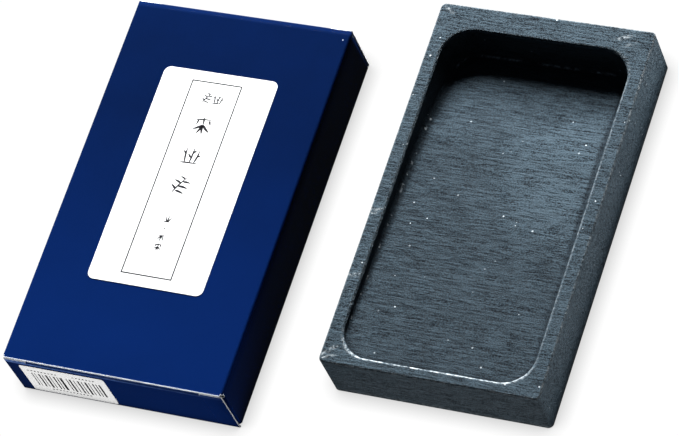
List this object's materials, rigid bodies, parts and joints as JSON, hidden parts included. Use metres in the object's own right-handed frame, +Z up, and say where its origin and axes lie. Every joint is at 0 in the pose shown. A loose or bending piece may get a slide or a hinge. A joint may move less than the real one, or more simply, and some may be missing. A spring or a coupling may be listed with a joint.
{
  "type": "boxed inkstone",
  "caption": "Rectangular slate inkstone with a grinding slope and deep ink pool, beside its tuck-end paperboard carton with hinged closures, tuck tongues and dust flaps.",
  "frame": {"origin": "middle of the base of the pair, on the surface that both stand on", "axes": "+Z up, +Y towards the deep end of the stone, +X from the carton to the stone"},
  "size_m": [0.182, 0.156, 0.0233],
  "materials": {
    "slate": "honed dark grey-green slate with fine grain lines and pale flecks",
    "navy_board": "coated navy printed paperboard, uncoated white inside and at the cut edges",
    "label_paper": "smooth white label paper with plain dark printed marks"
  },
  "bodies": {
    "stone": {"inkstone": "slate"},
    "carton": {"front_panel": "navy_board", "back_panel": "navy_board", "left_side_panel": "navy_board", "right_side_panel": "navy_board", "glue_flap": "navy_board", "front_label": "label_paper"},
    "near_closure": {"near_closure_panel": "navy_board", "end_sticker": "label_paper"},
    "near_tongue": {"near_tuck_tongue": "navy_board"},
    "near_left_flap": {"near_left_dust_flap": "navy_board"},
    "near_right_flap": {"near_right_dust_flap": "navy_board"},
    "far_closure": {"far_closure_panel": "navy_board"},
    "far_tongue": {"far_tuck_tongue": "navy_board"},
    "far_left_flap": {"far_left_dust_flap": "navy_board"},
    "far_right_flap": {"far_right_dust_flap": "navy_board"}
  },
  "joints": [
    {"name": "carton_lift", "type": "slide", "parent": "stone", "child": "carton", "axis": [0, 0, 1], "range_m": [0, 0.05]},
    {"name": "near_closure_hinge", "type": "hinge", "parent": "carton", "child": "near_closure", "pos_m": [-0.05128, -0.07745, 0.0005], "axis": [1, 0, 0], "range_deg": [0, 90]},
    {"name": "near_tongue_crease", "type": "hinge", "parent": "near_closure", "child": "near_tongue", "pos_m": [-0.05128, -0.07745, 0.02195], "axis": [-1, 0, 0], "range_deg": [0, 31.5]},
    {"name": "near_left_flap_crease", "type": "hinge", "parent": "carton", "child": "near_left_flap", "pos_m": [-0.08997, -0.07665, 0.0107], "axis": [0, 0, 1], "range_deg": [0, 80]},
    {"name": "near_right_flap_crease", "type": "hinge", "parent": "carton", "child": "near_right_flap", "pos_m": [-0.01257, -0.07665, 0.0107], "axis": [0, 0, -1], "range_deg": [0, 80]},
    {"name": "far_closure_hinge", "type": "hinge", "parent": "carton", "child": "far_closure", "pos_m": [-0.05128, 0.06155, 0.0005], "axis": [-1, 0, 0], "range_deg": [0, 90]},
    {"name": "far_tongue_crease", "type": "hinge", "parent": "far_closure", "child": "far_tongue", "pos_m": [-0.05128, 0.06155, 0.02195], "axis": [1, 0, 0], "range_deg": [0, 31.5]},
    {"name": "far_left_flap_crease", "type": "hinge", "parent": "carton", "child": "far_left_flap", "pos_m": [-0.08997, 0.06075, 0.0107], "axis": [0, 0, -1], "range_deg": [0, 80]},
    {"name": "far_right_flap_crease", "type": "hinge", "parent": "carton", "child": "far_right_flap", "pos_m": [-0.01257, 0.06075, 0.0107], "axis": [0, 0, 1], "range_deg": [0, 80]}
  ],
  "couplings": [
    {"joint": "near_tongue_crease", "follows": "near_closure_hinge", "ratio": 0.35},
    {"joint": "far_tongue_crease", "follows": "far_closure_hinge", "ratio": 0.35}
  ]
}
